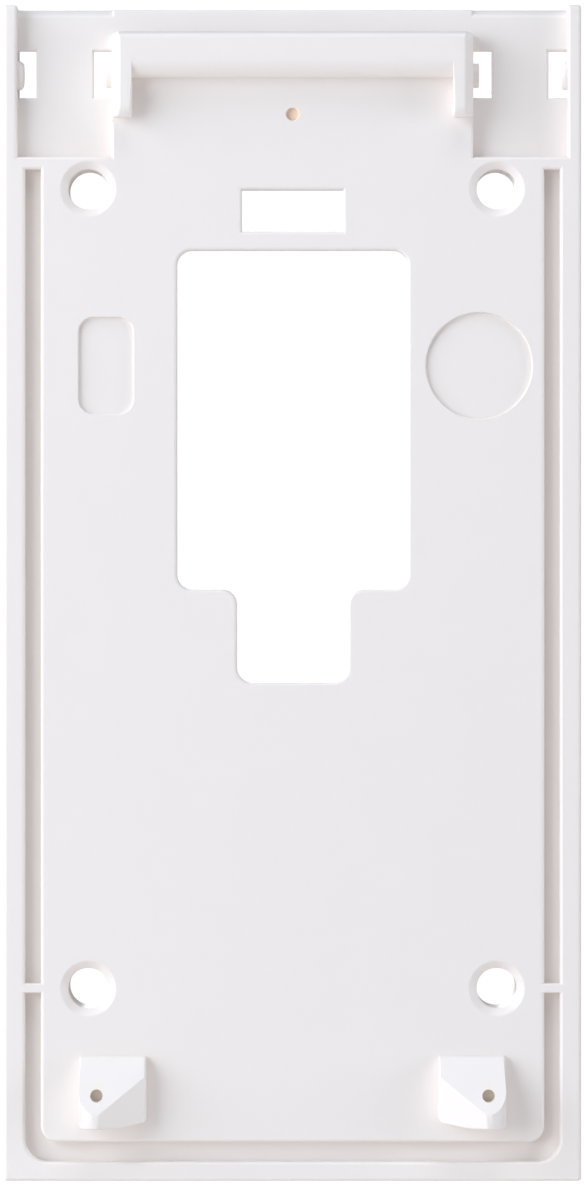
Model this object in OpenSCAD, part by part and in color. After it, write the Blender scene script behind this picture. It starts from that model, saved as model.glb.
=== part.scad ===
// Wall plate of a video doorbell: one white moulding, drawn as its named regions.
// +X is right, +Z is up, the front faces -Y, and the wall is the plane Y = 0.
// The origin is the centre of the four wall screws, on the wall.

/* [Plate] */
// Width of the plate
plate_w = 65; // [62:0.5:70]
// Height of the plate
plate_h = 132.4; // [130:0.2:140]
// From the top edge down to the middle of the wall screws
pattern_below_top = 65.7; // [65:0.1:67]
// Distance of the front face from the wall
front_h = 7; // [6.5:0.1:9]
// Thickness of the front sheet
sheet_t = 2; // [1.8:0.1:2.4]

/* [Frame and groove] */
// Width of the frame at the sides
frame_w = 2.4; // [2:0.1:3]
// Width of the frame at the foot
frame_foot_w = 2.15; // [2:0.05:3]
// Width of the groove at the sides
groove_w = 1.75; // [1.5:0.05:2.2]
// Width of the groove at the foot
groove_foot_w = 2.25; // [1.5:0.05:2.6]
// Depth of the groove below the front face
groove_depth = 1.7; // [1:0.1:2.2]
// Corner radius of the front sheet
sheet_corner_r = 1.8; // [1:0.1:2.4]
// Corner radius inside the frame
frame_corner_r = 2.5; // [2:0.1:3]
// Thickness of the ribs that bridge the groove
groove_rib_t = 1.1; // [0.8:0.1:1.5]

/* [Hinge bays] */
// Width of each bay
bay_w = 10.65; // [10:0.05:11]
// From the top edge down to the lower end of a bay
bay_end = 17.1; // [16.5:0.1:17.6]
// Wall between a bay and the side of the plate
bay_wall_w = 1.5; // [1.2:0.1:1.8]
// Height of a bay floor above the wall
bay_floor_h = 5; // [4.6:0.1:5.2]
// Width of the slots under the pins
pin_slot_w = 2.1; // [1.8:0.1:2.4]
// Height of the slots under the pins
pin_slot_h = 5.3; // [4.8:0.1:6]
// Diameter of the inner hinge pins
pin_d = 2.75; // [2.4:0.05:3]
// Length of the inner hinge pins
pin_len = 0.7; // [0.5:0.05:0.9]
// Diameter of the outer hinge studs
stud_d = 3.3; // [3:0.1:3.6]
// Length of the outer hinge studs
stud_len = 0.7; // [0.5:0.05:0.9]
// From the top edge down to the hinge line
pin_line = 7.8; // [7.4:0.1:8]
// Height of the hinge line above the wall
pin_line_h = 4.75; // [4.6:0.05:4.9]

/* [Rail and cheeks] */
// Height of the rail and the cheeks above the wall
rail_h = 9.8; // [9.4:0.1:11]
// From the top edge down to the back of the rail
rail_start = 3.15; // [3:0.05:3.4]
// Depth of the rail, downwards
rail_deep = 5.1; // [4.6:0.1:5.6]
// Radius of the rail's lower front edge
rail_round = 2; // [1:0.1:2.4]
// Width of a cheek
cheek_w = 2.3; // [2:0.1:2.6]
// Lower end of a cheek, from the top edge
cheek_end = 12.7; // [12:0.1:13]
// Slope of a cheek's outer face, across its height
cheek_lean = 0.85; // [0.4:0.05:1]

/* [Openings] */
// Width of the cable opening
opening_w = 26; // [24:0.5:27]
// Upper edge of the cable opening, from the top edge
opening_top = 27.6; // [27:0.1:28]
// Lower edge of the cable opening, from the top edge
opening_end = 65.8; // [64:0.1:67]
// Width of the opening's neck
neck_w = 12.5; // [12:0.1:14]
// Lower edge of the neck, from the top edge
neck_end = 76.3; // [75:0.1:78]
// Corner radius of the opening and its neck
opening_r = 1.7; // [1.2:0.1:2]
// Width of the tool slot above the opening
tool_slot_w = 11.4; // [10:0.1:13]
// Height of the tool slot
tool_slot_h = 4.7; // [4.4:0.1:5]
// Upper edge of the tool slot, from the top edge
tool_slot_top = 20.8; // [20.4:0.1:21.2]

/* [Screws and posts] */
// Wall screws, from side to side
screw_pitch_x = 46; // [45.5:0.1:46.2]
// Wall screws, from top to bottom
screw_pitch_z = 90; // [89:0.5:90.5]
// Diameter of the wall screw holes
screw_d = 4.5; // [4:0.1:5]
// Diameter of the countersinks at the front face
sink_d = 6.2; // [5.6:0.1:6.6]
// Diameter of the screw tubes behind the sheet
boss_d = 8; // [7.4:0.1:8.2]
// Lock post, middle from the centre line
post_x = 20.2; // [19.6:0.1:20.4]
// Width of a lock post
post_w = 7.5; // [7:0.1:7.8]
// Upper end of a lock post, from the top edge
post_top = 118.3; // [118:0.1:119]
// Height of a lock post along the plate
post_len = 7.9; // [7.4:0.1:8.2]
// Pilot hole for a locking screw
pilot_d = 1.4; // [1.1:0.1:1.6]

/* [Hidden] */

$fn = 48;
eps = 0.01;
half_w = plate_w / 2;
top_z = pattern_below_top;
back_h = front_h - sheet_t;             // the sheet's rear face
strip_end = bay_end + 1.4;              // where the groove starts
frame_in = half_w - frame_w;            // the frame's inner face
sheet_half = frame_in - groove_w;       // half the sheet's width below the bays
bay_out = half_w - bay_wall_w;          // a bay's outer wall
bay_in = bay_out - bay_w;               // a bay's inner wall, the side of the middle section
wall_t = 1.5;                           // hidden walls at the bays, and the band at the groove
bay_foot_t = 0.9;                       // a bay's lower wall, thin beside the screw tube
floor_t = 1.5;                          // bay floors and the ledge
groove_floor_h = front_h - groove_depth;
groove_low_h = min(groove_floor_h - 1.2, back_h - 0.3);     // the underside of the groove's floor
middle_drop = 0.35;                     // the middle section stops this far below the top edge
bay_chamfer = 0.75;
pin_slot_top = pin_line - 2.8;
recess_depth = 0.5;
recess_x = 21;
recess_line = 40.6;                     // both recesses, from the top edge
gate_d = 1.4;
gate_line = 12.3;
gate_deep = 0.5;
rib_t = 1.2;
rib_low_h = 1.5;                        // the back ribs stop short of the wall
rib_x = 15.5;
rib_lines = [26.5, 78.4, 110.7];        // cross ribs, from the top edge
rail_back_z = top_z - rail_start;
rail_low_z = rail_back_z - rail_deep;
post_r = 2;                             // round along a post's outer edge
post_h = 12.4;                          // height of a post's ridge above the wall
post_ridge_x = post_x + post_w / 2 - 2.3;
pilot_x = post_x + post_w / 2 - 2;
post_side_h = 9.4;                      // height of a post's inner edge
post_start_h = 7.9;                     // height of a post's upper edge
post_ramp = 36;
pilot_line = 122.5;
pilot_floor_h = 9.4;
post_cut = 0.7;                         // a post's inner lower corner is cut back this far
white = [0.93, 0.93, 0.93];

// ---- directions: h is the distance in front of the wall, d the distance below the top edge

// A slice of an outline drawn in X and Z, from height h0 to h1 in front of the wall
module slice(h0, h1) translate([0, -h0, 0]) rotate([90, 0, 0]) linear_extrude(h1 - h0) children();

// A bar of a section drawn in Y and Z, from x0 to x1
module across(x0, x1) translate([x0, 0, 0]) rotate([90, 0, 90]) linear_extrude(x1 - x0) children();

// A column of a section drawn in X and Y, from z0 up to z1
module upright(z0, z1) translate([0, 0, z0]) linear_extrude(z1 - z0) children();

// A rectangle in X and Z, from d0 down to d1 below the top edge
module patch(x0, x1, d0, d1) translate([x0, top_z - d1]) square([x1 - x0, d1 - d0]);

// A rectangle with four round corners, standing on its middle
module rounded(w, h, r) {
    square([w - 2 * r, h], center = true);
    square([w, h - 2 * r], center = true);
    for (x = [-1, 1], z = [-1, 1]) translate([x * (w / 2 - r), z * (h / 2 - r)]) circle(r);
}

// What is left of a square corner outside its round, with the corner at the origin
module corner_waste(r) difference() {
    translate([-eps, -eps]) square(r + eps);
    translate([r, r]) circle(r);
}

// A patch with its two lower corners round
module round_foot(x0, x1, d0, d1, r) difference() {
    patch(x0, x1, d0, d1);
    translate([x0, top_z - d1]) corner_waste(r);
    translate([x1, top_z - d1]) mirror([1, 0]) corner_waste(r);
}

module at_wall_screws() {
    for (x = [-1, 1], z = [-1, 1]) translate([x * screw_pitch_x / 2, 0, z * screw_pitch_z / 2]) children();
}

// A cylinder along Y from height h0 to h1, from radius r0 to r1
module drill(h0, h1, r0, r1) translate([0, -h0, 0]) rotate([90, 0, 0]) cylinder(h1 - h0, r0, r1);

// ---- front sheet

module sheet_outline() {
    round_foot(-sheet_half, sheet_half, bay_end, plate_h - frame_foot_w - groove_foot_w, sheet_corner_r);
    patch(-frame_in, frame_in, bay_end, strip_end);
    patch(-bay_in, bay_in, rail_start, bay_end);
}

module cable_opening() {
    mid_z = top_z - (opening_top + opening_end) / 2;
    translate([0, mid_z]) rounded(opening_w, opening_end - opening_top, opening_r);
    round_foot(-neck_w / 2, neck_w / 2, opening_end - 5, neck_end, opening_r);
    for (side = [0, 1]) mirror([side, 0]) translate([neck_w / 2, top_z - opening_end])
        mirror([0, 1]) corner_waste(opening_r);
}

module front_panel() {
    sink = (sink_d - screw_d) / 2;
    color(white) difference() {
        slice(back_h, front_h) difference() {
            sheet_outline();
            cable_opening();
            patch(-tool_slot_w / 2, tool_slot_w / 2, tool_slot_top, tool_slot_top + tool_slot_h);
        }
        at_wall_screws() {
            drill(back_h - 1, front_h + 1, screw_d / 2, screw_d / 2);
            drill(front_h - sink, front_h + eps, screw_d / 2, sink_d / 2 + eps);
        }
        slice(front_h - recess_depth, front_h + 1) translate([-recess_x, top_z - recess_line])
            rounded(6.2, 10.9, 1.7);
        translate([recess_x, 0, top_z - recess_line]) drill(front_h - recess_depth, front_h + 1, 6, 6);
        translate([0, 0, top_z - gate_line])
            drill(front_h - gate_deep, front_h + 1, gate_d / 2, gate_d / 2);
    }
}

// ---- frame and groove

module frame_hollow() {
    round_foot(-frame_in, frame_in, bay_end - 1, plate_h - frame_foot_w, frame_corner_r);
}

module perimeter_frame() {
    color(white) slice(0, front_h) difference() {
        patch(-half_w, half_w, 0, plate_h);
        frame_hollow();
        patch(-bay_out, bay_out, -1, bay_end);
    }
}

module groove_channel() {
    color(white) {
        slice(groove_low_h, groove_floor_h) difference() {
            intersection() {
                frame_hollow();
                patch(-half_w, half_w, strip_end, plate_h);
            }
            sheet_outline();
        }
        slice(groove_low_h, back_h) difference() {
            intersection() {
                sheet_outline();
                patch(-half_w, half_w, strip_end, plate_h);
            }
            groove_core();
        }
    }
}

// The room inside the band that backs the sheet's edge
module groove_core() {
    patch(wall_t - sheet_half, sheet_half - wall_t, strip_end - 1,
        plate_h - frame_foot_w - groove_foot_w - wall_t);
}

module groove_ribs() {
    color(white) for (side = [-1, 1]) translate([side * (frame_in + sheet_half) / 2, 0, -screw_pitch_z / 2])
        slice(groove_floor_h, front_h) square([groove_w, groove_rib_t], center = true);
}

// ---- hinge bays

module hinge_bay() {
    color(white) {
        difference() {
            slice(bay_floor_h - floor_t, bay_floor_h) difference() {
                patch(bay_in, bay_out, middle_drop, bay_end);
                for (x = [bay_in, bay_out - pin_slot_w])
                    patch(x, x + pin_slot_w, pin_slot_top, pin_slot_top + pin_slot_h);
            }
            across(0, half_w) polygon([
                [-bay_floor_h - eps, top_z - middle_drop - bay_chamfer - eps],
                [-bay_floor_h - eps, top_z],
                [bay_chamfer - bay_floor_h, top_z],
                [bay_chamfer - bay_floor_h, top_z - middle_drop]]);
        }
        slice(bay_floor_h - floor_t, back_h) {
            patch(bay_in - wall_t, bay_in, middle_drop, bay_end + bay_foot_t);
            patch(bay_in, frame_in, bay_end, bay_end + bay_foot_t);
            patch(sheet_half - wall_t, frame_in, bay_end, strip_end);
        }
    }
}

module right_hinge_bay() hinge_bay();
module left_hinge_bay() mirror([1, 0, 0]) hinge_bay();

module inner_hinge_pins() {
    color(white) for (side = [-1, 1])
        translate([side < 0 ? -bay_in - pin_len : bay_in, -pin_line_h, top_z - pin_line])
            rotate([0, 90, 0]) cylinder(pin_len, r = pin_d / 2);
}

module outer_hinge_studs() {
    dome = stud_len / 2;
    color(white) for (side = [0, 1]) mirror([side, 0, 0])
        translate([bay_out, -pin_line_h, top_z - pin_line]) rotate([0, -90, 0]) rotate_extrude()
            polygon([[0, 0], [stud_d / 2, 0], [stud_d / 2, stud_len - dome],
                [stud_d / 2 - dome, stud_len], [0, stud_len]]);
}

// ---- rail, cheeks and ledge

module top_ledge() {
    color(white) slice(back_h - floor_t, back_h)
        patch(wall_t - bay_in, bay_in - wall_t, middle_drop, rail_start + wall_t);
}

module rail_section() difference() {
    translate([-rail_h, rail_low_z]) square([rail_h - front_h, rail_deep]);
    translate([-rail_h, rail_low_z]) corner_waste(rail_round);
}

module hinge_rail() {
    color(white) across(cheek_w - bay_in, bay_in - cheek_w) rail_section();
}

module hinge_cheek() {
    low_z = top_z - cheek_end;
    color(white) intersection() {
        upright(low_z, rail_back_z) polygon([
            [bay_in - cheek_w, -front_h], [bay_in, -front_h],
            [bay_in - cheek_lean, -rail_h], [bay_in - cheek_w, -rail_h]]);
        across(0, half_w) difference() {
            translate([-rail_h - 1, low_z]) square([rail_h + 1, cheek_end]);
            translate([-rail_h, low_z]) corner_waste(1.2);
        }
    }
}

module right_hinge_cheek() hinge_cheek();
module left_hinge_cheek() mirror([1, 0, 0]) hinge_cheek();

// ---- lock posts

module post_section() difference() {
    outer = post_x + post_w / 2;
    inner = post_x - post_w / 2;
    polygon([[outer, -front_h], [outer, -post_h], [post_ridge_x, -post_h], [inner, -post_side_h],
        [inner, -front_h]]);
    translate([outer, -post_h]) mirror([1, 0]) corner_waste(post_r);
}

module lock_post() {
    high_z = top_z - post_top;
    low_z = high_z - post_len;
    color(white) difference() {
        upright(low_z, high_z) post_section();
        slice(front_h - 1, post_h + 1) polygon([[post_x - post_w / 2 - 1, low_z - 1], [post_x, low_z - 1],
            [post_x, low_z], [post_x - post_w / 2, low_z + post_cut], [post_x - post_w / 2 - 1, low_z + post_cut]]);
        translate([0, -post_start_h, high_z]) rotate([-post_ramp, 0, 0])
            translate([0, -20, -20]) cube([half_w, 20, 30]);
        translate([pilot_x, 0, top_z - pilot_line])
            drill(pilot_floor_h, post_h + 1, pilot_d / 2, pilot_d / 2);
    }
}

module right_lock_post() lock_post();
module left_lock_post() mirror([1, 0, 0]) lock_post();

// ---- back

// Tubes that stop flat against the walls of the bays and the groove
module wall_screw_bosses() {
    color(white) difference() {
        at_wall_screws() drill(0, back_h, boss_d / 2, boss_d / 2);
        at_wall_screws() drill(-1, back_h + 1, screw_d / 2, screw_d / 2);
        slice(bay_floor_h - floor_t, front_h) {
            patch(-half_w, half_w, 0, bay_end + bay_foot_t);
            for (side = [0, 1]) mirror([side, 0]) patch(sheet_half - wall_t, half_w, 0, strip_end);
        }
        slice(groove_low_h, front_h) difference() {
            patch(-half_w, half_w, 0, plate_h);
            groove_core();
        }
    }
}

module rib_grid(half_x, end_d) {
    for (x = [-rib_x, rib_x]) patch(x - rib_t / 2, x + rib_t / 2, rail_start + wall_t, end_d);
    for (d = rib_lines) patch(-half_x, half_x, d - rib_t / 2, d + rib_t / 2);
}

// The ribs run on under the groove to the frame
module back_ribs() {
    color(white) difference() {
        union() {
            slice(rib_low_h, groove_low_h) rib_grid(frame_in, plate_h - frame_foot_w);
            slice(groove_low_h, back_h)
                rib_grid(sheet_half - wall_t, plate_h - frame_foot_w - groove_foot_w - wall_t);
        }
        at_wall_screws() drill(0, back_h + 1, boss_d / 2, boss_d / 2);
    }
}

front_panel();
perimeter_frame();
groove_channel();
groove_ribs();
left_hinge_bay();
right_hinge_bay();
top_ledge();
hinge_rail();
left_hinge_cheek();
right_hinge_cheek();
inner_hinge_pins();
outer_hinge_studs();
left_lock_post();
right_lock_post();
wall_screw_bosses();
back_ribs();
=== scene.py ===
import math

import bmesh
import bpy
from mathutils import Matrix, Vector


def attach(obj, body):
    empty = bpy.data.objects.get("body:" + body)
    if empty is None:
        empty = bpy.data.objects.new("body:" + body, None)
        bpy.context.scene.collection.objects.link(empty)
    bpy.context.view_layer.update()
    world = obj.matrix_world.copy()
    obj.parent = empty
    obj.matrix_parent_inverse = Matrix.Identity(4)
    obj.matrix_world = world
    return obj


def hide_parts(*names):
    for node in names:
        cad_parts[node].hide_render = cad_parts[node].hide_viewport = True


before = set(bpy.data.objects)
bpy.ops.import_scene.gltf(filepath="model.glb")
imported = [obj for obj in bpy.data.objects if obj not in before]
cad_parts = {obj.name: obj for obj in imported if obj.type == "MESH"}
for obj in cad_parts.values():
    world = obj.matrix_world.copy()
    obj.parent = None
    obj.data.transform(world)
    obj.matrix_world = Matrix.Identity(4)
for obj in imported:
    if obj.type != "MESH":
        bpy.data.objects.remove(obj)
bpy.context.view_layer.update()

# ---- The moulding
# The plate is one injection moulding in white ABS, so its regions run into each other without a
# seam. The CAD's solids are fused here, each edge gets the small radius that the steel gives it,
# and the sections after this one part it again into its named regions.

MM = 0.001
RIM = 0.38              # radii of the edges, in mm: where the front face ends
EDGE = 0.28             # elsewhere
FINE = 0.12             # round small features
SHALLOW = 0.20          # on the ribs of the groove
CROWN = 0.90            # along the back of the rail
SHARP = math.radians(24)
CLEANUP = 0.025 * MM    # vertices closer than this are one
FLAT_JOIN = math.radians(1.5)   # triangles closer in angle than this are dissolved into one face
FACE_H = 7.0            # the front face, in mm in front of the wall
SHEET_BACK = 5.1        # just in front of the sheet's rear face and the floors of the bays


def merged_copy(node):
    """A CAD node's mesh as a new object, with its loose triangles joined up."""
    bm = bmesh.new()
    bm.from_mesh(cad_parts[node].data)
    bmesh.ops.remove_doubles(bm, verts=bm.verts, dist=0.001 * MM)
    mesh = bpy.data.meshes.new(node)
    bm.to_mesh(mesh)
    bm.free()
    copy = bpy.data.objects.new(node + "_copy", mesh)
    bpy.context.scene.collection.objects.link(copy)
    return copy


def modified(thing, kind, **settings):
    """The mesh that a modifier makes of an object, which itself stays as it was."""
    modifier = thing.modifiers.new(kind, kind)
    for setting, value in settings.items():
        setattr(modifier, setting, value)
    graph = bpy.context.evaluated_depsgraph_get()
    mesh = bpy.data.meshes.new_from_object(thing.evaluated_get(graph))
    thing.modifiers.remove(modifier)
    return mesh


def near(point, low, high):
    """Whether a point, given as |x|, h in front of the wall and z in mm, is inside a box."""
    return all(a <= p <= b for p, a, b in zip(point, low, high))


def edge_radius(edge):
    """The radius in mm of a sharp edge of the moulding, from where it lies."""
    mid = (edge.verts[0].co + edge.verts[1].co) / (2 * MM)
    along = (edge.verts[0].co - edge.verts[1].co).normalized()
    at = (abs(mid.x), -mid.y, mid.z)
    for hole_x, hole_z, reach in ((23, 45, 3.4), (23, -45, 3.4), (0, 53.4, 1.2)):
        if math.hypot(at[0] - hole_x, at[2] - hole_z) < reach and at[1] > SHEET_BACK:
            return FINE
    if near(at, (14, 6.4, 18.9), (28, 7.05, 31.5)):             # the two recesses
        return FINE if at[1] > 6.8 else 0
    if near(at, (20.36, 2.7, 55.9), (21.3, 6.6, 59.9)) or near(at, (30.1, 2.7, 55.9), (30.99, 6.6, 59.9)):
        return FINE                                             # pins and studs
    if near(at, (0, 9.5, 62.4), (20, 11, 63)):
        return CROWN
    if near(at, (0, 7.1, 50), (18.1, 11, 62.4)) and abs(along.x) < 0.5:
        return EDGE if at[2] < 57.4 else FINE                   # where the rail's round leaves a cheek
    if near(at, (28.3, 3, -45.6), (30.2, 7.1, -44.4)):
        return SHALLOW
    if near(at, (16.6, 7.2, -60.3), (23.8, 13, -52.7)) or near(at, (23.8, 9.9, -60.4), (24.1, 13, -52.7)):
        return 0                                                # creases of the lock posts' ramps
    if at[1] < SHEET_BACK and (at[0] < 30.5 and -64.5 < at[2] < 47.3 or at[0] < 18.9 and at[2] < 62.7):
        return 0
    if at[1] < 1.2 and at[0] < 30.5 and at[2] > -64.5:
        return 0
    return RIM if abs(at[1] - FACE_H) < 0.1 else EDGE


BEHIND = ("back_ribs", "wall_screw_bosses")
moulding = merged_copy("front_panel")
for node in sorted(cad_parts):
    if node != "front_panel" and node not in BEHIND:
        part = merged_copy(node)
        moulding.data = modified(moulding, "BOOLEAN", operation="UNION", solver="MANIFOLD", object=part)
        bpy.data.objects.remove(part)

bm = bmesh.new()
bm.from_mesh(moulding.data)
bmesh.ops.remove_doubles(bm, verts=bm.verts, dist=CLEANUP)
bmesh.ops.dissolve_degenerate(bm, edges=bm.edges, dist=CLEANUP / 5)
# Cuts through the holes, so that no flat face has a hole inside it once its triangles are dissolved
for point, normal in (((-23, 0, 0), "X"), ((0, 0, 0), "X"), ((23, 0, 0), "X"), ((0, 0, 10), "Z"),
                      ((0, 0, -56.8), "POST")):
    faces = bm.faces[:]
    if normal == "POST":
        faces = [f for f in faces if f.calc_center_median().y < -7.05 * MM
                 and f.calc_center_median().z < -50 * MM]
    geom = faces + list({e for f in faces for e in f.edges}) + list({v for f in faces for v in f.verts})
    cut = bmesh.ops.bisect_plane(bm, geom=geom, dist=CLEANUP / 10, plane_co=Vector(point) * MM,
                                 plane_no=(1, 0, 0) if normal == "X" else (0, 0, 1))
    for edge in cut["geom_cut"]:
        if isinstance(edge, bmesh.types.BMEdge):
            edge.seam = True
bmesh.ops.dissolve_limit(bm, angle_limit=FLAT_JOIN, verts=bm.verts, edges=bm.edges, delimit={"SEAM"})
weight = bm.edges.layers.float.new("bevel_weight_edge")
for edge in bm.edges:
    if edge.is_manifold and edge.is_convex and edge.calc_face_angle() > SHARP:
        edge[weight] = edge_radius(edge)
bm.to_mesh(moulding.data)
bm.free()
moulding.data = modified(moulding, "BEVEL", width=1.0 * MM, limit_method="WEIGHT", segments=3,
                         profile=0.5, use_clamp_overlap=False, loop_slide=True)
bm = bmesh.new()
bm.from_mesh(moulding.data)
bmesh.ops.triangulate(bm, faces=[f for f in bm.faces if len(f.verts) > 4])
bm.to_mesh(moulding.data)
bm.free()


def linear(code):
    """An sRGB hex colour as the linear RGBA that the shader takes."""
    parts = [int(code[i:i + 2], 16) / 255 for i in (1, 3, 5)]
    return [c / 12.92 if c <= 0.04045 else ((c + 0.055) / 1.055) ** 2.4 for c in parts] + [1.0]


def add(tree, kind, settings=(), **links):
    """Add a node; settings are its properties, and links are values or outputs for its inputs."""
    node = tree.nodes.new(kind)
    for name, value in dict(settings).items():
        setattr(node, name, value)
    for name, value in links.items():
        socket = node.inputs[int(name[1:])] if name[0] == "i" and name[1:].isdigit() \
            else node.inputs[name.replace("_", " ")]
        if isinstance(value, bpy.types.NodeSocket):
            tree.links.new(value, socket)
        else:
            socket.default_value = value
    return node


def white_abs():
    """White ABS from a spark-eroded tool: a satin face with a fine grain, and a warm body colour that
    shows where light bounces about in a hollow. It flows thicker and thinner, which leaves a very faint
    mottle. The amber at the gate dimple and the warmth in the blind pilot holes are painted glow,
    standing in for light through the thin plastic and bounced about in the holes."""
    material = bpy.data.materials.new("white_abs")
    material.use_nodes = True
    tree = material.node_tree
    tree.nodes.clear()
    place = add(tree, "ShaderNodeTexCoord").outputs["Object"]
    mottle = add(tree, "ShaderNodeTexNoise", Vector=place, Scale=1 / (28 * MM), Detail=2.0,
                 Roughness=0.5)
    body = add(tree, "ShaderNodeMix", {"data_type": "RGBA"}, i0=mottle.outputs[0],
               i6=linear(BODY_COOL), i7=linear(BODY_WARM)).outputs[2]
    # Painted glow: warm spots at the gate dimple and in the pilot holes, standing in for light through
    # the thin plastic and bounced in the holes
    for spot, reach, tint in PAINTED_GLOWS:
        away = add(tree, "ShaderNodeVectorMath", {"operation": "DISTANCE"}, i0=place,
                   i1=Vector((spot[0], -spot[1], spot[2])) * MM)
        near_it = add(tree, "ShaderNodeMapRange", {"interpolation_type": "SMOOTHSTEP"},
                      i0=away.outputs[1], i1=reach[0] * MM, i2=reach[1] * MM, i3=1.0, i4=0.0)
        body = add(tree, "ShaderNodeMix", {"data_type": "RGBA"}, i0=near_it.outputs[0], i6=body,
                   i7=linear(tint)).outputs[2]
    # The real grain is about 0.05 mm; it is drawn at 0.22 mm, the finest that shows in a render
    grain = add(tree, "ShaderNodeTexNoise", Vector=place, Scale=1 / (0.22 * MM), Detail=3.0,
                Roughness=0.6)
    bump = add(tree, "ShaderNodeBump", Strength=0.10, Distance=0.02 * MM, Height=grain.outputs[0])
    rub = add(tree, "ShaderNodeTexNoise", Vector=place, Scale=1 / (6 * MM), Detail=4.0, Roughness=0.6)
    satin = add(tree, "ShaderNodeMapRange", i0=rub.outputs[0], i1=0.3, i2=0.7, i3=0.36, i4=0.48)
    shader = add(tree, "ShaderNodeBsdfPrincipled", Base_Color=body, Roughness=satin.outputs[0],
                 IOR=1.53, Normal=bump.outputs[0])
    add(tree, "ShaderNodeOutputMaterial", Surface=shader.outputs[0])
    return material


BODY_COOL = "#F7EFEA"
BODY_WARM = "#F8F0E8"
# Painted glow, not the plastic's own colour: amber at the gate dimple, warm in the two pilot holes; each
# entry is a centre in mm, an inner and outer reach, and a tint
PAINTED_GLOWS = (((0, 6.5, 53.4), (0.74, 1.0), "#FCE6CF"),
         ((-21.95, 9.4, -56.8), (1.2, 1.9), "#FAF0E4"),
         ((21.95, 9.4, -56.8), (1.2, 1.9), "#FAF0E4"))
ABS = white_abs()


def flat_areas(bm):
    """For each face, which flat it is part of, and for each flat, its whole area."""
    flat_of, areas = {}, []
    for seed in bm.faces:
        if seed in flat_of:
            continue
        flat_of[seed] = len(areas)
        area, reached = 0.0, [seed]
        while reached:
            face = reached.pop()
            area += face.calc_area()
            for edge in face.edges:
                for other in edge.link_faces:
                    if other not in flat_of and other.normal.dot(seed.normal) > FLAT:
                        flat_of[other] = len(areas)
                        reached.append(other)
        areas.append(area)
    return flat_of, areas


def shaded(mesh):
    """Smooth normals in which the larger flat at a corner counts for more, so that flats look flat
    and only the rounds between them turn the light."""
    bm = bmesh.new()
    bm.from_mesh(mesh)
    bmesh.ops.remove_doubles(bm, verts=bm.verts, dist=0.0005 * MM)
    bmesh.ops.dissolve_degenerate(bm, edges=bm.edges, dist=0.0002 * MM)
    bm.normal_update()
    flat_of, areas = flat_areas(bm)
    normals = []
    for face in bm.faces:
        for corner in face.loops:
            shares = {}
            for other in corner.vert.link_faces:
                if other.normal.dot(face.normal) > TURN:
                    shares[flat_of[other]] = other.normal * areas[flat_of[other]]
            total = sum(shares.values(), Vector())
            normals.append(total.normalized() if total.length > 0 else face.normal.copy())
    bm.to_mesh(mesh)
    bm.free()
    for polygon in mesh.polygons:
        polygon.use_smooth = True
    mesh.normals_split_custom_set(normals)


FLAT = math.cos(math.radians(0.7))      # faces closer in angle than this are one flat
TURN = math.cos(math.radians(38))       # and further apart than this, they meet in a crisp edge


def finish(piece, node):
    """Give a region its shading and its plastic, hang it under the root body, and hide the CAD node that
    it stands in for.
    """
    shaded(piece.data)
    piece.data.materials.clear()
    piece.data.materials.append(ABS)
    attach(piece, "root")
    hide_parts(node)


def box(x, h, z):
    """The corners of a box: x across, h in front of the wall and z up, all in mm."""
    return Vector((x[0], -h[1], z[0])) * MM, Vector((x[1], -h[0], z[1])) * MM


def pair(x, h, z):
    """A box on the right and its mirror image on the left."""
    return [box(x, h, z), box((-x[1], -x[0]), h, z)]


def part_off(node, boxes):
    """Part the moulding inside the boxes off the rest, as a closed piece of its own."""
    bm = bmesh.new()
    for low, high in boxes:
        bmesh.ops.create_cube(bm, size=1, matrix=Matrix.Translation((low + high) / 2)
                              @ Matrix.Diagonal((high - low).to_4d()))
    mesh = bpy.data.meshes.new("cutter")
    bm.to_mesh(mesh)
    bm.free()
    cutter = bpy.data.objects.new("cutter", mesh)
    bpy.context.scene.collection.objects.link(cutter)
    mesh = modified(moulding, "BOOLEAN", operation="INTERSECT", solver="MANIFOLD", object=cutter)
    piece = bpy.data.objects.new(node + "_moulded", mesh)
    bpy.context.scene.collection.objects.link(piece)
    moulding.data = modified(moulding, "BOOLEAN", operation="DIFFERENCE", solver="MANIFOLD",
                             object=cutter)
    bpy.data.objects.remove(cutter)
    finish(piece, node)


# ---- Lock posts
# Two posts at the foot, each a ramp with a rounded outer shoulder. A small screw through the front
# unit's lower end cuts its own thread in the pilot hole. They are moulded with the sheet.

part_off("left_lock_post", [box((-24.5, -15.9), (6.9, 13), (-61.1, -52.0))])
part_off("right_lock_post", [box((15.9, 24.5), (6.9, 13), (-61.1, -52.0))])

# ---- Hinge rail
# The bar along the top that the front unit hangs over. Its lower edge is a 2 mm round and its back
# edge is eased. It is a thick solid bar, moulded with the sheet.

part_off("hinge_rail", [box((-17.6, 17.6), (6.9, 11), (56.9, 63))])

# ---- Hinge cheeks
# The flanks that close the rail's ends and run on below it as short feet. The outer faces lean in,
# which lets the tool draw off them.

part_off("left_hinge_cheek", [box((-20.9, -17.6), (6.9, 11), (52.4, 63))])
part_off("right_hinge_cheek", [box((17.6, 20.9), (6.9, 11), (52.4, 63))])

# ---- Hinge pins
# Two short round pins on the flanks of the middle section, which the front unit's ears turn on.
# The slot under each pin is where the tool's core came through.

part_off("inner_hinge_pins", pair((20.4, 21.3), (3.1, 6.4), (56.3, 59.5)))

# ---- Hinge studs
# Two cone-ended studs on the inside of the frame, on the pins' line, that the front unit's ears snap
# over. They are moulded with the frame, and the cone helps the ear to ride up.

part_off("outer_hinge_studs", pair((30.1, 30.95), (2.9, 6.6), (56.0, 59.8)))

# ---- Groove ribs
# Two thin ribs that bridge the groove, level with the front face. They stiffen the frame where its
# long sides would bow, and are moulded with it.

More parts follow.
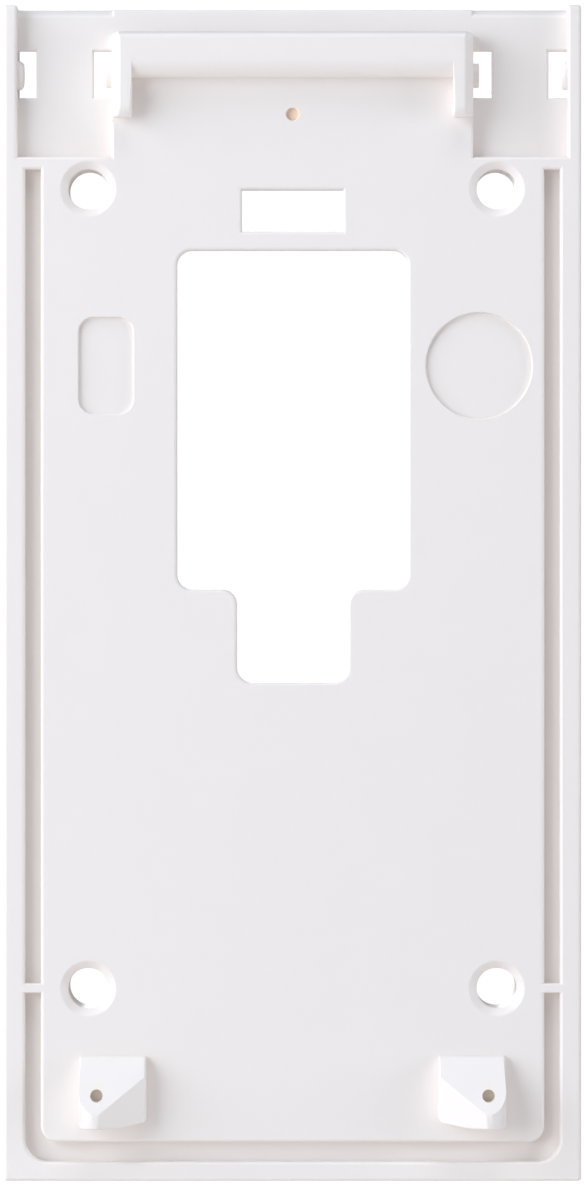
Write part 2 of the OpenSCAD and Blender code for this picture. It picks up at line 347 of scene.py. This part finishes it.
part_off("groove_ribs", pair((28.9, 29.55), (5.45, 7.2), (-46, -44)))

# ---- Top ledge
# The step behind the rail, lower than the front face, that joins the two bays. It is a thin flat
# wall, moulded with the sheet.

part_off("top_ledge", [box((-20.3, 20.3), (3.0, 5.5), (62.7, 66))])

# ---- Hinge bays
# The two open pockets beside the rail that take the front unit's ears. Each has a thin floor, level
# with the ledge, with a slot beside the pin and one beside the stud, and a chamfer along its upper end.

part_off("left_hinge_bay", [box((-30.9, -20.3), (3.2, 5.5), (48.65, 66))])
part_off("right_hinge_bay", [box((20.3, 30.9), (3.2, 5.5), (48.65, 66))])

# ---- Front panel
# The large front sheet with the cable opening, the tool slot, four countersunk screw holes, two
# shallow recesses and the small dimple where the plastic was fed in.

part_off("front_panel", [box((-28.5, 28.5), (2.0, 8), (-62.45, 66))])

# ---- Groove channel
# The floor of the groove that runs round three sides, below the front face. The front unit's skirt
# drops into it and keeps the rain out. It is moulded with the sheet and the frame.

part_off("groove_channel", [box((-29.95, 29.95), (3.6, 5.7), (-64.35, 46.9))])

# ---- Perimeter frame
# What is left: the outer wall of the plate, full depth from the wall to the front face, open at
# the top. It is drawn off the same tool as the rest.

frame_piece = bpy.data.objects.new("perimeter_frame_moulded", moulding.data)
bpy.context.scene.collection.objects.link(frame_piece)
bpy.data.objects.remove(moulding)
finish(frame_piece, "perimeter_frame")


# ---- Screw bosses
# Four tubes behind the sheet that take the clamping load of the wall screws down to the wall. They
# are moulded with the sheet, and their rims are eased.


def eased_copy(node, rim_h, radius):
    """A CAD node's solid with the edges of its rear end eased."""
    copy = merged_copy(node)
    bm = bmesh.new()
    bm.from_mesh(copy.data)
    bmesh.ops.remove_doubles(bm, verts=bm.verts, dist=CLEANUP)
    bmesh.ops.dissolve_limit(bm, angle_limit=FLAT_JOIN, verts=bm.verts, edges=bm.edges)
    rim = [e for e in bm.edges if e.is_manifold and e.is_convex and e.calc_face_angle() > SHARP
           and all(abs(-v.co.y / MM - rim_h) < 0.01 for v in e.verts)]
    bmesh.ops.bevel(bm, geom=rim, offset=radius * MM, offset_type="OFFSET", segments=3, profile=0.5,
                    affect="EDGES", clamp_overlap=False, material=-1, loop_slide=True)
    bmesh.ops.triangulate(bm, faces=[f for f in bm.faces if len(f.verts) > 4])
    bm.to_mesh(copy.data)
    bm.free()
    copy.name = node + "_moulded"
    finish(copy, node)


WALL_H = 0.0            # the tubes reach the wall; the ribs end 1.5 mm in front of it
RIBS_H = 1.5
REAR_EASE = 0.2
eased_copy("wall_screw_bosses", WALL_H, REAR_EASE)

# ---- Back ribs
# A grid of thin ribs that keeps the sheet flat. They stop short of the wall, so that only the
# frame and the bosses touch it.

eased_copy("back_ribs", RIBS_H, REAR_EASE)

# ---- Camera
# Square on to the front face, level with the middle of the plate, from 0.7 m. The lens takes in the
# plate's height with a narrow margin.

CAMERA_Z = -0.44 * MM
DISTANCE = 0.700
FRAME_HEIGHT = 133.37 * MM      # the height of the front face's plane that the frame takes in
SENSOR = 36.0

camera_data = bpy.data.cameras.new("camera")
camera_data.sensor_fit = "AUTO"
camera_data.sensor_width = SENSOR
camera_data.lens = SENSOR * DISTANCE / FRAME_HEIGHT
camera_data.clip_start = 0.01
camera = bpy.data.objects.new("camera", camera_data)
camera.location = (0, -FACE_H * MM - DISTANCE, CAMERA_Z)
camera.rotation_euler = (math.radians(90), 0, 0)
bpy.context.scene.collection.objects.link(camera)
bpy.context.scene.camera = camera

# ---- Studio
# A white surround, one large soft light from the left, and weak ones from above, from the right and
# from behind. The pale floor is 30 mm below the plate, which hangs clear of it as on a wall.


def soft_light(name, place, size, power, colour):
    """A square soft light that faces the plate; its place is in metres."""
    data = bpy.data.lights.new(name, "AREA")
    data.size = size
    data.energy = power
    data.color = colour
    light = bpy.data.objects.new(name, data)
    light.location = place
    light.rotation_euler = (-Vector(place)).to_track_quat("-Z", "Y").to_euler()
    bpy.context.scene.collection.objects.link(light)


COOL = (0.918, 0.99, 1.10)
soft_light("key_light", (-0.83, -0.58, 0.20), 1.00, 11.2, COOL)
soft_light("top_light", (0.05, -0.36, 0.92), 0.5, 2.7, COOL)
soft_light("side_light", (0.92, -0.26, 0.05), 0.4, 2.5, COOL)
soft_light("rear_light", (-0.30, 0.90, 0.35), 0.7, 6.0, COOL)

world = bpy.data.worlds.new("studio")
bpy.context.scene.world = world
world.use_nodes = True
tree = world.node_tree
tree.nodes.clear()
seen = add(tree, "ShaderNodeBackground", Color=(1, 1, 1, 1), Strength=1.05)
fill = add(tree, "ShaderNodeBackground", Color=(*COOL, 1), Strength=0.18)
ray = add(tree, "ShaderNodeLightPath").outputs["Is Camera Ray"]
mix = add(tree, "ShaderNodeMixShader", i0=ray, i1=fill.outputs[0], i2=seen.outputs[0])
add(tree, "ShaderNodeOutputWorld", Surface=mix.outputs[0])

FLOOR_BACK = 0.30       # metres behind the wall plane
FLOOR_Z = -0.097
bm = bmesh.new()
bmesh.ops.create_grid(bm, x_segments=1, y_segments=1, size=0.5)
bmesh.ops.scale(bm, vec=(1.4, 1.0, 1), verts=bm.verts)
bmesh.ops.translate(bm, vec=(0, FLOOR_BACK - 0.5, FLOOR_Z), verts=bm.verts)
mesh = bpy.data.meshes.new("floor")
bm.to_mesh(mesh)
bm.free()
floor = bpy.data.objects.new("floor", mesh)
bpy.context.scene.collection.objects.link(floor)
card = bpy.data.materials.new("matt_paper")     # uncoated white paper: dull, with a faint fibre mottle
card.use_nodes = True
tree = card.node_tree
tree.nodes.clear()
place = add(tree, "ShaderNodeTexCoord").outputs["Object"]
fibre = add(tree, "ShaderNodeTexNoise", Vector=place, Scale=1 / (1.5 * MM), Detail=4.0)
paper = add(tree, "ShaderNodeMix", {"data_type": "RGBA"}, i0=fibre.outputs[0], i6=linear("#F6EFE8"),
            i7=linear("#FAF2EC"))
shader = add(tree, "ShaderNodeBsdfPrincipled", Base_Color=paper.outputs[2], Roughness=0.9)
add(tree, "ShaderNodeOutputMaterial", Surface=shader.outputs[0])
floor.data.materials.append(card)

bpy.context.scene.view_settings.view_transform = "Standard"
